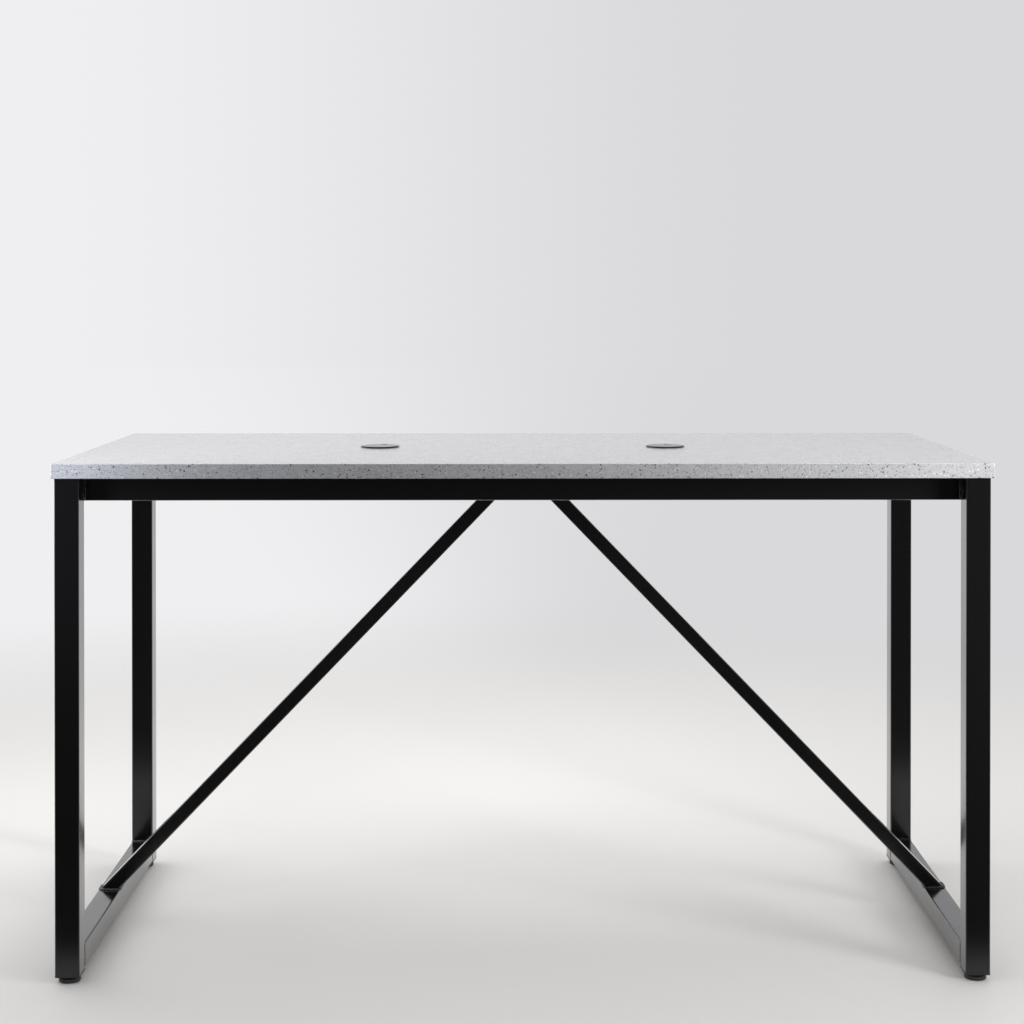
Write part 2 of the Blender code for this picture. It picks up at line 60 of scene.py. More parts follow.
camera_data = bpy.data.cameras.new("camera")
camera_data.sensor_width = SENSOR_WIDTH
camera_data.lens = LENS
camera_data.shift_x = SHIFT_ACROSS
camera_data.shift_y = SHIFT_UP
camera = bpy.data.objects.new("camera", camera_data)
camera.location = CAMERA_PLACE
camera.rotation_euler = (math.radians(CAMERA_TILT), 0.0, math.radians(CAMERA_SWING))
bpy.context.scene.collection.objects.link(camera)
bpy.context.scene.camera = camera
bpy.context.scene.view_settings.view_transform = "Standard"


# The surround: a pale backdrop, a little brighter on the left, which mirrors and the clear see
# as the camera does. The light that it sends is a room's, dim in front of the table and bright
# behind it, and what faces the front mirrors that dim part.
BACKDROP_LEFT = "#efeff1"
BACKDROP_RIGHT = "#d9d9dc"
LEFT_UNTIL = -0.27  # shares of a direction that point to the right, between the two tones
RIGHT_FROM = 0.15
DAYLIGHT = "#fdfdfe"
FRONT_LEVEL = 0.06
REAR_LEVEL = 0.70
HIGH_REAR_LEVEL = 1.15
ZENITH_LEVEL = 0.95
DIM_UNTIL = -0.60  # shares of a direction that point to the rear, between dim and bright
BRIGHT_FROM = 0.05
LOW_UNTIL, HIGH_FROM = 0.12, 0.30  # shares of a direction that point up, between two levels
SIDE_UNTIL, ZENITH_FROM = 0.35, 0.95


def linear(hex_colour):
    """An sRGB colour such as "#dcdcdf" as linear red, green, blue and alpha."""
    values = []
    for start in (1, 3, 5):
        value = int(hex_colour[start:start + 2], 16) / 255
        values.append(value / 12.92 if value <= 0.04045 else ((value + 0.055) / 1.055) ** 2.4)
    return (*values, 1.0)


def add_node(tree, kind, inputs=(), **settings):
    """Add a node with its settings. Each input gets a plain value or a link from a socket."""
    node = tree.nodes.new(kind)
    for name, value in settings.items():
        setattr(node, name, value)
    for socket, value in dict(inputs).items():
        if isinstance(value, bpy.types.NodeSocket):
            tree.links.new(value, node.inputs[socket])
        else:
            node.inputs[socket].default_value = value
    return node


def backdrop_tone(tree, sideways):
    """The colour of the backdrop in a direction with this share to the right."""
    share = add_node(tree, "ShaderNodeMapRange", {
        "Value": sideways, "From Min": LEFT_UNTIL, "From Max": RIGHT_FROM,
    }, interpolation_type="SMOOTHSTEP").outputs["Result"]
    return add_node(tree, "ShaderNodeMix", {
        "Factor": share, "A": linear(BACKDROP_LEFT), "B": linear(BACKDROP_RIGHT),
    }, data_type="RGBA").outputs["Result"]


def sees_backdrop(tree, rear_share):
    """1 for a ray that sees the backdrop: the camera's, a transmitted one, and one that a
    surface mirrors to the rear."""
    ray = add_node(tree, "ShaderNodeLightPath")
    mirrored = add_node(tree, "ShaderNodeMath", {
        0: ray.outputs["Is Glossy Ray"], 1: rear_share}, operation="MULTIPLY").outputs[0]
    straight = add_node(tree, "ShaderNodeMath", {
        0: ray.outputs["Is Camera Ray"], 1: ray.outputs["Is Transmission Ray"],
    }, operation="MAXIMUM").outputs[0]
    return add_node(tree, "ShaderNodeMath", {
        0: straight, 1: mirrored}, operation="MAXIMUM").outputs[0]


def share_to_rear(tree, rearward):
    """How far a direction with this share to the rear has left the dim front, from 0 to 1."""
    return add_node(tree, "ShaderNodeMapRange", {
        "Value": rearward, "From Min": DIM_UNTIL, "From Max": BRIGHT_FROM,
    }, interpolation_type="SMOOTHSTEP").outputs["Result"]


world = bpy.data.worlds.new("pale_room")
world.use_nodes = True
tree = world.node_tree
tree.nodes.clear()
direction = add_node(tree, "ShaderNodeTexCoord").outputs["Generated"]
way = add_node(tree, "ShaderNodeSeparateXYZ", {"Vector": direction})
rear_share = share_to_rear(tree, way.outputs["Y"])
rear = add_node(tree, "ShaderNodeMapRange", {
    "Value": way.outputs["Z"], "From Min": LOW_UNTIL, "From Max": HIGH_FROM,
    "To Min": REAR_LEVEL, "To Max": HIGH_REAR_LEVEL,
}, interpolation_type="SMOOTHSTEP").outputs["Result"]
level = add_node(tree, "ShaderNodeMix", {
    "Factor": rear_share, "A": FRONT_LEVEL, "B": rear}).outputs["Result"]
overhead = add_node(tree, "ShaderNodeMapRange", {
    "Value": way.outputs["Z"], "From Min": SIDE_UNTIL, "From Max": ZENITH_FROM,
}, interpolation_type="SMOOTHSTEP").outputs["Result"]
brightness = add_node(tree, "ShaderNodeMix", {
    "Factor": overhead, "A": level, "B": ZENITH_LEVEL}).outputs["Result"]
room = add_node(tree, "ShaderNodeBackground", {
    "Color": linear(DAYLIGHT), "Strength": brightness})
backdrop = add_node(tree, "ShaderNodeBackground", {
    "Color": backdrop_tone(tree, way.outputs["X"]), "Strength": 1.0})
surround = add_node(tree, "ShaderNodeMixShader", {
    0: sees_backdrop(tree, rear_share), 1: room.outputs[0], 2: backdrop.outputs[0],
}).outputs[0]
add_node(tree, "ShaderNodeOutputWorld", {"Surface": surround})
bpy.context.scene.world = world


# The floor: pale, smooth and matt. It takes the table's shadow, and runs out into the tone of
# the backdrop a few steps away, so that no edge of it shows. What it sends to the table as
# light passes into the room sooner: dim in front and bright behind.
FLOOR_COLOUR = "#e4e2df"
FLOOR_ROUGHNESS = 0.75
FLOOR_REACH = 30.0
FADE_START, FADE_END = 1.6, 4.5  # from the middle of the table, into the backdrop's tone
ROOM_START, ROOM_END = 0.40, 0.65  # to the front or the rear, into the room's light
ROOM_REAR_LEVEL = 1.0

floor_material = bpy.data.materials.new("pale_matt_floor")
floor_material.use_nodes = True
tree = floor_material.node_tree
shader = tree.nodes["Principled BSDF"]
shader.inputs["Base Color"].default_value = linear(FLOOR_COLOUR)
shader.inputs["Roughness"].default_value = FLOOR_ROUGHNESS
place = add_node(tree, "ShaderNodeTexCoord").outputs["Object"]
distance = add_node(tree, "ShaderNodeVectorMath", {0: place}, operation="LENGTH").outputs["Value"]
heading = add_node(tree, "ShaderNodeVectorMath", {0: place}, operation="NORMALIZE").outputs[0]
heading = add_node(tree, "ShaderNodeSeparateXYZ", {"Vector": heading})
fade = add_node(tree, "ShaderNodeMapRange", {
    "Value": distance, "From Min": FADE_START, "From Max": FADE_END,
}, interpolation_type="SMOOTHSTEP").outputs["Result"]
far_floor = add_node(tree, "ShaderNodeEmission", {
    "Color": backdrop_tone(tree, heading.outputs["X"])}).outputs[0]
seen_floor = add_node(tree, "ShaderNodeMixShader", {
    0: fade, 1: shader.outputs[0], 2: far_floor}).outputs[0]
depth = add_node(tree, "ShaderNodeSeparateXYZ", {"Vector": place}).outputs["Y"]
off_middle = add_node(tree, "ShaderNodeMath", {0: depth}, operation="ABSOLUTE").outputs[0]
room_fade = add_node(tree, "ShaderNodeMapRange", {
    "Value": off_middle, "From Min": ROOM_START, "From Max": ROOM_END,
}, interpolation_type="SMOOTHSTEP").outputs["Result"]
room_fade = add_node(tree, "ShaderNodeMath", {
    0: fade, 1: room_fade}, operation="MAXIMUM").outputs[0]
rear_share = share_to_rear(tree, heading.outputs["Y"])
room_level = add_node(tree, "ShaderNodeMix", {
    "Factor": rear_share, "A": FRONT_LEVEL, "B": ROOM_REAR_LEVEL}).outputs["Result"]
room_floor = add_node(tree, "ShaderNodeEmission", {
    "Color": linear(DAYLIGHT), "Strength": room_level}).outputs[0]
sent_floor = add_node(tree, "ShaderNodeMixShader", {
    0: room_fade, 1: shader.outputs[0], 2: room_floor}).outputs[0]
mixed = add_node(tree, "ShaderNodeMixShader", {
    0: sees_backdrop(tree, rear_share), 1: sent_floor, 2: seen_floor}).outputs[0]
tree.links.new(mixed, tree.nodes["Material Output"].inputs["Surface"])

shape = bmesh.new()
bmesh.ops.create_grid(shape, x_segments=1, y_segments=1, size=FLOOR_REACH)
floor_mesh = bpy.data.meshes.new("floor")
shape.to_mesh(floor_mesh)
shape.free()
floor_mesh.materials.append(floor_material)
floor = bpy.data.objects.new("floor", floor_mesh)
bpy.context.scene.collection.objects.link(floor)


# The lamps: one large softbox over the table, a pale panel past its left end, and a soft light
# beyond each front corner that reaches the front edge of the top from the side. Those two are
# hidden from mirrors, so that no hot spot of theirs stands on the port rims.
# Name, place, aim, width, height, watts, spread in degrees, colour, shown in mirrors.
LAMPS = (
    ("overhead", (0.0, 0.4, 2.9), (0.0, 0.2, 0.0), 3.6, 2.2, 25.0, 180, "#ffffff", True),
    ("left_panel", (-1.9, 0.5, 1.35), (0.0, 0.5, 1.2), 1.4, 1.2, 7.0, 180, "#f6f9ff", True),
    ("right_corner", (2.15, -1.45, 1.2), (0.85, -0.4, 1.0), 0.6, 1.2, 9.2, 60, "#ffffff", False),
    ("left_corner", (-1.4, -0.8, 1.15), (-0.98, -0.4, 1.0), 0.25, 0.6, 1.45, 60, "#eef3ff", False),
)
for name, place, aim, width, height, watts, spread, colour, mirrored in LAMPS:
    lamp_data = bpy.data.lights.new(name, "AREA")
    lamp_data.shape = "RECTANGLE"
    lamp_data.size = width
    lamp_data.size_y = height
    lamp_data.energy = watts
    lamp_data.color = linear(colour)[:3]
    lamp_data.spread = math.radians(spread)
    lamp = bpy.data.objects.new(name, lamp_data)
    lamp.location = place
    lamp.rotation_euler = (Vector(aim) - Vector(place)).to_track_quat("-Z", "Y").to_euler()
    lamp.visible_camera = False
    lamp.visible_glossy = mirrored
    bpy.context.scene.collection.objects.link(lamp)


# The worktop: one slab of engineered quartz, 30 mm thick, sawn to size and honed to a low
# sheen, with eased edges. Two holes go through it for the cable ports, and six blind holes in
# its underside take the threaded inserts.
TOP_EDGE_ROUND = 0.0015
TOP_EDGE_STEPS = 4
PORT_HOLE_RADIUS = 0.040
INSERT_HOLE_RADIUS = 0.0053
INSERT_HOLE_SPARE = 0.003
OVERSHOOT = 0.01  # of a cutter past what it cuts
SMOOTH_STEPS = 96  # flats on a middling round
MERGE_DISTANCE = 0.000001
SHARP_FROM = 32  # degrees
SIDES = {"left": -1, "right": 1}
FIXINGS = ("front_left", "front_right", "rear_left", "rear_right", "middle_left", "middle_right")


def start_material(name, colour, roughness, **values):
    """A material with these values on the shader's own sockets, its nodes, shader and place."""
    material = bpy.data.materials.new(name)
    material.use_nodes = True
    tree = material.node_tree
    shader = tree.nodes["Principled BSDF"]
    shader.inputs["Base Color"].default_value = linear(colour)
    shader.inputs["Roughness"].default_value = roughness
    for socket, value in values.items():
        shader.inputs[socket.replace("_", " ")].default_value = value
    place = add_node(tree, "ShaderNodeTexCoord").outputs["Object"]
    return material, tree, shader, place


def cut(shape, tool, operation="DIFFERENCE"):
    """Cut one closed shape with another, or join the two, and give back the result."""
    pair = []
    for part in (shape, tool):
        mesh = bpy.data.meshes.new("part")
        part.to_mesh(mesh)
        part.free()
        pair.append(bpy.data.objects.new("part", mesh))
        bpy.context.scene.collection.objects.link(pair[-1])
    boolean = pair[0].modifiers.new("cut", "BOOLEAN")
    boolean.operation = operation
    boolean.object = pair[1]
    evaluated = pair[0].evaluated_get(bpy.context.evaluated_depsgraph_get())
    result = bmesh.new()
    result.from_mesh(evaluated.to_mesh())
    evaluated.to_mesh_clear()
    for leftover in pair:
        mesh = leftover.data
        bpy.data.objects.remove(leftover, do_unlink=True)
        bpy.data.meshes.remove(mesh)
    return result


def block(low, high):
    """A plain block between two opposite corners."""
    low, high = Vector(low), Vector(high)
    shape = bmesh.new()
    bmesh.ops.create_cube(shape, size=1.0)
    bmesh.ops.scale(shape, verts=shape.verts[:], vec=high - low)
    bmesh.ops.translate(shape, verts=shape.verts[:], vec=(low + high) / 2)
    return shape


def rod(radius, low, high, segments=SMOOTH_STEPS):
    """A plain round rod, or with few segments a bar, between two points on one vertical line."""
    low, high = Vector(low), Vector(high)
    shape = bmesh.new()
    bmesh.ops.create_cone(
        shape, cap_ends=True, segments=segments, radius1=radius, radius2=radius,
        depth=high.z - low.z, matrix=Matrix.Translation((low + high) / 2))
    return shape


def make_piece(name, shape, material):
    """Turn a bmesh into an object at the origin, smooth on its curves and sharp on its edges."""
    bmesh.ops.remove_doubles(shape, verts=shape.verts[:], dist=MERGE_DISTANCE)
    bmesh.ops.recalc_face_normals(shape, faces=shape.faces[:])
    mesh = bpy.data.meshes.new(name)
    shape.to_mesh(mesh)
    shape.free()
    mesh.shade_smooth()
    mesh.set_sharp_from_angle(angle=math.radians(SHARP_FROM))
    mesh.materials.append(material)
    piece = bpy.data.objects.new(name, mesh)
    bpy.context.scene.collection.objects.link(piece)
    even = piece.modifiers.new("even_faces", "WEIGHTED_NORMAL")
    even.keep_sharp = True
    return piece


# Chips of dark and light stone in a pale grey paste. A polished face cuts them at all depths, so
# they show in every size up to the largest. Spacing, size and raggedness are in metres.
PASTE = "#bdbdbe"
PASTE_DARK = "#b2b2b4"
PASTE_LIGHT = "#c6c6c6"
PASTE_MOTTLE = "#97979a"
HONED_ROUGHNESS = 0.2
CLOUD_SIZE = 0.035
MOTTLE_SIZE = 0.005
SMALLEST_CHIP = 0.4  # of the largest
CHIP_EDGE = 0.0002
# Spacing, largest size, share of the cells with a chip, raggedness, shift, darkest, lightest.
CHIPS = (
    (0.0022, 0.0019, 0.64, 0.0007, 0.31, "#727277", "#969699"),
    (0.0060, 0.0038, 0.50, 0.0013, 0.83, "#c6c6c6", "#d6d6d5"),
    (0.0045, 0.0031, 0.67, 0.0012, 1.27, "#545459", "#7b7b7f"),
    (0.0090, 0.0048, 0.58, 0.0018, 1.71, "#363639", "#5c5c60"),
)
quartz, tree, shader, place = start_material(
    "honed_grey_engineered_quartz", PASTE, HONED_ROUGHNESS)


def stone_chips(tree, place, spacing, size, share, raggedness, shift):
    """Where chips show: up to size across, one in each cell of spacing for this share of cells."""
    ripple = add_node(tree, "ShaderNodeTexNoise", {
        "Vector": place, "Scale": 1 / raggedness, "Detail": 2.0, "Roughness": 0.6})
    offset = add_node(tree, "ShaderNodeVectorMath", {
        0: ripple.outputs["Color"], 1: (-0.5, -0.5, -0.5)}, operation="ADD").outputs[0]
    ragged = add_node(tree, "ShaderNodeVectorMath", {
        0: offset, 1: (raggedness, raggedness, raggedness), 2: place},
        operation="MULTIPLY_ADD").outputs[0]
    shifted = add_node(tree, "ShaderNodeVectorMath", {
        0: ragged, 1: (shift, 2 * shift, 3 * shift)}, operation="ADD").outputs[0]
    cells = add_node(tree, "ShaderNodeTexVoronoi", {"Vector": shifted, "Scale": 1 / spacing})
    draw = add_node(tree, "ShaderNodeSeparateColor", {"Color": cells.outputs["Color"]})
    largest = size / 2 / spacing
    radius = add_node(tree, "ShaderNodeMapRange", {
        "Value": draw.outputs["Green"], "To Min": SMALLEST_CHIP * largest, "To Max": largest,
    }).outputs["Result"]
    depth = add_node(tree, "ShaderNodeMath", {0: radius, 1: cells.outputs["Distance"]},
                     operation="SUBTRACT").outputs[0]
    edge = add_node(tree, "ShaderNodeMath", {0: depth, 1: spacing / CHIP_EDGE},
                    operation="MULTIPLY", use_clamp=True).outputs[0]
    chosen = add_node(tree, "ShaderNodeMath", {0: draw.outputs["Red"], 1: share},
                      operation="LESS_THAN").outputs[0]
    shown = add_node(tree, "ShaderNodeMath", {0: edge, 1: chosen}, operation="MULTIPLY").outputs[0]
    return shown, draw.outputs["Blue"]


cloud = add_node(tree, "ShaderNodeTexNoise", {
    "Vector": place, "Scale": 1 / CLOUD_SIZE, "Detail": 4.0, "Roughness": 0.55}).outputs["Fac"]
colour = add_node(tree, "ShaderNodeMix", {
    "Factor": cloud, "A": linear(PASTE_DARK), "B": linear(PASTE_LIGHT)}, data_type="RGBA")
mottle = add_node(tree, "ShaderNodeTexNoise", {
    "Vector": place, "Scale": 1 / MOTTLE_SIZE, "Detail": 3.0, "Roughness": 0.6}).outputs["Fac"]
colour = add_node(tree, "ShaderNodeMix", {
    "Factor": mottle, "A": colour.outputs["Result"], "B": linear(PASTE_MOTTLE),
}, data_type="RGBA", blend_type="SOFT_LIGHT")
for spacing, size, share, raggedness, shift, darkest, lightest in CHIPS:
    shown, shade = stone_chips(tree, place, spacing, size, share, raggedness, shift)
    chip = add_node(tree, "ShaderNodeMix", {
        "Factor": shade, "A": linear(darkest), "B": linear(lightest)}, data_type="RGBA")
    colour = add_node(tree, "ShaderNodeMix", {
        "Factor": shown, "A": colour.outputs["Result"], "B": chip.outputs["Result"],
    }, data_type="RGBA")
tree.links.new(colour.outputs["Result"], shader.inputs["Base Color"])

low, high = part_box("worktop")
shape = block(low, high)
bmesh.ops.bevel(shape, geom=shape.edges[:], offset=TOP_EDGE_ROUND, offset_type="OFFSET",
                segments=TOP_EDGE_STEPS, profile=0.5, affect="EDGES", material=-1)
for side in SIDES:
    port_low, port_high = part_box(f"port_sleeve_{side}")
    centre = (port_low + port_high) / 2
    shape = cut(shape, rod(PORT_HOLE_RADIUS, (centre.x, centre.y, low.z - OVERSHOOT),
                           (centre.x, centre.y, high.z + OVERSHOOT)))
for fixing in FIXINGS:
    insert_low, insert_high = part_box(f"threaded_insert_{fixing}")
    centre = (insert_low + insert_high) / 2
    shape = cut(shape, rod(INSERT_HOLE_RADIUS, (centre.x, centre.y, low.z - OVERSHOOT),
                           (centre.x, centre.y, insert_high.z + INSERT_HOLE_SPARE)))
piece = make_piece("stone_slab", shape, quartz)
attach(piece, "frame")
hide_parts("worktop")


# The end frames: two legs and a top rail of 50 mm square steel tube with a 2 mm wall, mitred,
# welded at the corners, ground flush and powder coated in satin black.
TUBE_WALL = 0.002
TUBE_CORNER = 0.004
CORNER_STEPS = 8
SEAM_WIDTH = 0.003
SEAM_PROUD = 0.00012
ENDS = {"front": -1, "rear": 1}
ALONG_Y = Matrix.Rotation(math.radians(-90), 4, "X")

# Powder melts into a skin with a fine orange peel, a little deeper in some places than in others.
# It gives the black a clear mirror at a low angle and little of one from straight in front.
COAT_COLOUR = "#101011"
PEEL_SIZE = 0.0012
PEEL_DEPTH = 0.00005
NOISE_LOW, NOISE_HIGH = 0.3, 0.7  # between which the noise mostly lies
powder_coat, tree, shader, place = start_material(
    "satin_black_powder_coat", COAT_COLOUR, 0.2,
    Specular_IOR_Level=0.35, Coat_Weight=1.0, Coat_IOR=1.33, Coat_Roughness=0.12)


def uneven_sheen(tree, shader, place, size, smoothest, roughest, detail=3.0, fineness=0.6):
    """Let the roughness drift between two values, in patches of this size. The patches are
    given back."""
    patches = add_node(tree, "ShaderNodeTexNoise", {
        "Vector": place, "Scale": 1 / size, "Detail": detail, "Roughness": fineness,
    }).outputs["Fac"]
    roughness = add_node(tree, "ShaderNodeMapRange", {
        "Value": patches, "From Min": NOISE_LOW, "From Max": NOISE_HIGH,
        "To Min": smoothest, "To Max": roughest}).outputs["Result"]
    tree.links.new(roughness, shader.inputs["Roughness"])
    return patches


uneven_sheen(tree, shader, place, size=0.06, smoothest=0.16, roughest=0.24)
peel = add_node(tree, "ShaderNodeTexNoise", {
    "Vector": place, "Scale": 1 / PEEL_SIZE, "Detail": 2.0, "Roughness": 0.5}).outputs["Fac"]
bump = add_node(tree, "ShaderNodeBump", {"Height": peel, "Strength": 0.2, "Distance": PEEL_DEPTH})
tree.links.new(bump.outputs["Normal"], shader.inputs["Normal"])


def upright_edges(shape):
    """The edges of a bar or a rod that run from its lower end to its upper one."""
    heights = [vert.co.z for vert in shape.verts]
    half = (max(heights) - min(heights)) / 2
    return [edge for edge in shape.edges
            if abs(edge.verts[0].co.z - edge.verts[1].co.z) > half]


def round_bar_edges(shape, corner):
    """Round the upright edges of a bar."""
    bmesh.ops.bevel(shape, geom=upright_edges(shape), offset=corner, offset_type="OFFSET",
                    segments=CORNER_STEPS, profile=0.5, affect="EDGES", material=-1)
    return shape


def square_bar(width, corner, low, high):
    """A square bar with round corners, upright on the origin between two heights."""
    half = width / 2
    return round_bar_edges(block((-half, -half, low), (half, half, high)), corner)


def square_tube(width, wall, corner, length, start_slope=(0.0, 0.0), end_slope=(0.0, 0.0)):
    """A tube along +Z from the origin. A slope slides each point of that end along the tube."""
    shape = square_bar(width, corner, 0.0, length)
    shape.normal_update()
    for way in (-1, 1):
        end = [face for face in shape.faces if face.normal.z * way > 0.9]
        bmesh.ops.inset_region(shape, faces=end, thickness=wall, use_even_offset=True)
        bore = [face for face in end if face.is_valid]
        bore_edges = [edge for face in bore for edge in face.edges]
        bmesh.ops.delete(shape, geom=bore, context="FACES_ONLY")
        if way < 0:
            start_edges = bore_edges
    bmesh.ops.bridge_loops(shape, edges=start_edges + bore_edges)
    for vert in shape.verts:
        slope = start_slope if vert.co.z < length / 2 else end_slope
        vert.co.z += slope[0] * vert.co.x + slope[1] * vert.co.y
    return shape


def lay(shape, start, turn=Matrix()):
    """Turn a shape that was made at the origin along +Z, and move it to start."""
    bmesh.ops.transform(shape, matrix=Matrix.Translation(start) @ turn, verts=shape.verts[:])
    return shape


def add_to(shape, part):
    """Put one bmesh into another, as a separate shell."""
    mesh = bpy.data.meshes.new("part")
    part.to_mesh(mesh)
    part.free()
    shape.from_mesh(mesh)
    bpy.data.meshes.remove(mesh)


for side in SIDES:
    low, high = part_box(f"top_side_rail_{side}")
    width = high.x - low.x
    centre = (low + high) / 2
    length = high.y - low.y - width
    shape = square_tube(width, TUBE_WALL, TUBE_CORNER, length, (0.0, 1.0), (0.0, -1.0))
    lay(shape, (centre.x, low.y + width / 2, centre.z), ALONG_Y)
    piece = make_piece(f"top_side_tube_{side}", shape, powder_coat)
    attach(piece, "frame")
    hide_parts(f"top_side_rail_{side}")
    rail_height = centre.z
    rail_top = high.z
    seams = bmesh.new()
    for end, end_sign in ENDS.items():
        low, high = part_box(f"leg_{end}_{side}")
        centre = (low + high) / 2
        half_turn = Matrix.Rotation(math.pi if end_sign > 0 else 0.0, 4, "Z")
        length = high.z - low.z - width / 2
        shape = square_tube(width, TUBE_WALL, TUBE_CORNER, length, (0.0, 0.0), (0.0, -1.0))
        lay(shape, (centre.x, centre.y, low.z), half_turn)
        piece = make_piece(f"leg_tube_{end}_{side}", shape, powder_coat)
        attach(piece, "frame")
        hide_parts(f"leg_{end}_{side}")
        band = square_tube(width + 2 * SEAM_PROUD, TUBE_WALL, TUBE_CORNER + SEAM_PROUD,
                           SEAM_WIDTH, (0.0, -1.0), (0.0, -1.0))
        lay(band, (centre.x, centre.y, rail_height - SEAM_WIDTH / 2), half_turn)
        sawn = bmesh.ops.bisect_plane(
            band, geom=band.verts[:] + band.edges[:] + band.faces[:],
            plane_co=(0.0, 0.0, rail_top + SEAM_PROUD), plane_no=(0.0, 0.0, 1.0), clear_outer=True)
        rim = [item for item in sawn["geom_cut"] if isinstance(item, bmesh.types.BMEdge)]
        bmesh.ops.edgenet_fill(band, edges=rim)
        add_to(seams, band)
    piece = make_piece(f"mitre_seams_{side}", seams, powder_coat)
    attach(piece, "frame")


# The bottom side rails: square-cut tube between the legs, level with the ends of the legs and
# welded to them: a fillet along the top, and a groove weld up each side.
FILLET_RADIUS = 0.0054  # of the bead's round face
FILLET_SINK = 0.0016  # of its centre behind the corner that it fills
GROOVE_RADIUS = 0.0042
GROOVE_SINK = 0.0032
GROOVE_OVERRUN = 0.001  # of a groove weld past the lower edge
BEAD_SIDES = 12
BEAD_END = 0.06  # how blunt its end is
RIPPLE_PITCH = 0.0021
RIPPLE_STEPS = 4
RIPPLE_BOW = 0.6
RIPPLE_DEPTH = 0.16  # this and the next two are less where less of the bead stands proud
LUMPINESS = 0.21
WANDER = 0.0007
draws = random.Random(7)


def weld_bead(shape, start, end, outward, radius, sink):
    """Add one run of weld, sunk behind the line from start to end: a round bead with a ripple
    for each step of the torch. The ripples bow the way that the run was laid."""
    start, end, outward = Vector(start), Vector(end), Vector(outward).normalized()
    along = (end - start).normalized()
    length = (end - start).length
    bead = bmesh.new()
    bmesh.ops.create_cone(bead, cap_ends=True, segments=BEAD_SIDES, radius1=radius,
                          radius2=radius, depth=length)
    bmesh.ops.subdivide_edges(bead, edges=upright_edges(bead),
                              cuts=round(RIPPLE_STEPS * length / RIPPLE_PITCH))
    proud = (radius - sink) / radius
    ripple_depth, lumpiness, wander = proud * RIPPLE_DEPTH, proud * LUMPINESS, proud * WANDER
    count = math.ceil(length / RIPPLE_PITCH) + 2
    lumps = [draws.uniform(1 - lumpiness, 1 + lumpiness) for _ in range(count)]
    drifts = [Vector((draws.uniform(-wander, wander), draws.uniform(-wander, wander), 0.0))
              for _ in range(count)]
    for vert in bead.verts:
        step = (vert.co.z + length / 2) / RIPPLE_PITCH
        ripple = 1 - ripple_depth + ripple_depth * abs(math.sin(math.pi * step))
        lump, share = int(step), step - int(step)
        unevenness = lumps[lump] * (1 - share) + lumps[lump + 1] * share
        from_end = min(1.0, (length / 2 - abs(vert.co.z)) / radius)
        rounded = math.sqrt(max(BEAD_END, 1 - (1 - from_end) ** 2))
        vert.co.x *= ripple * unevenness * rounded
        vert.co.y *= ripple * unevenness * rounded
        vert.co.z += RIPPLE_BOW * vert.co.x * rounded
        vert.co += drifts[lump].lerp(drifts[lump + 1], share) * rounded
    across = along.cross(outward)
    turn = Matrix((outward, across, along)).transposed().to_4x4()
    lay(bead, (start + end) / 2 - sink * outward, turn)
    add_to(shape, bead)


for side in SIDES:
    low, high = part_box(f"bottom_side_rail_{side}")
    width = high.x - low.x
    centre = (low + high) / 2
    shape = square_tube(width, TUBE_WALL, TUBE_CORNER, high.y - low.y)
    lay(shape, (centre.x, low.y, centre.z), ALONG_Y)
    piece = make_piece(f"bottom_side_tube_{side}", shape, powder_coat)
    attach(piece, "frame")
    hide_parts(f"bottom_side_rail_{side}")
    beads = bmesh.new()
    reach = width / 2 - TUBE_CORNER / 2
    for end_y, inward in ((low.y, 1), (high.y, -1)):
        weld_bead(beads, (centre.x - reach, end_y, high.z), (centre.x + reach, end_y, high.z),
                  (0.0, inward, 1.0), FILLET_RADIUS, FILLET_SINK)
        y = end_y - inward * TUBE_CORNER / 2
        for x, way in ((low.x, -1), (high.x, 1)):
            weld_bead(beads, (x, y, low.z - GROOVE_OVERRUN), (x, y, high.z), (way, 0.0, 0.0),
                      GROOVE_RADIUS, GROOVE_SINK)
    piece = make_piece(f"bottom_rail_welds_{side}", beads, powder_coat)
    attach(piece, "frame")


# The long rails and the cross rail: the same tube just behind the legs, between the end frames,
# and one more across the middle. Fillet welds run up both sides of each joint, and a groove
# weld under it.
ALONG_X = Matrix.Rotation(math.radians(90), 4, "Y")

beads = bmesh.new()
for end in ENDS:
    low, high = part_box(f"long_rail_{end}")
    width = high.z - low.z
    centre = (low + high) / 2
    shape = square_tube(width, TUBE_WALL, TUBE_CORNER, high.x - low.x)
    lay(shape, (low.x, centre.y, centre.z), ALONG_X)
    piece = make_piece(f"long_tube_{end}", shape, powder_coat)
    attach(piece, "frame")
    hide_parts(f"long_rail_{end}")
    reach = width / 2 - TUBE_CORNER / 2
    for end_x, inward in ((low.x, 1), (high.x, -1)):
        for y, way in ((low.y, -1), (high.y, 1)):
            weld_bead(beads, (end_x, y, centre.z - reach), (end_x, y, centre.z + reach),
                      (inward, way, 0.0), FILLET_RADIUS, FILLET_SINK)
        x = end_x - inward * TUBE_CORNER / 2
        weld_bead(beads, (x, low.y, low.z), (x, high.y, low.z), (0.0, 0.0, -1.0),
                  GROOVE_RADIUS, GROOVE_SINK)
piece = make_piece("long_rail_welds", beads, powder_coat)
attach(piece, "frame")

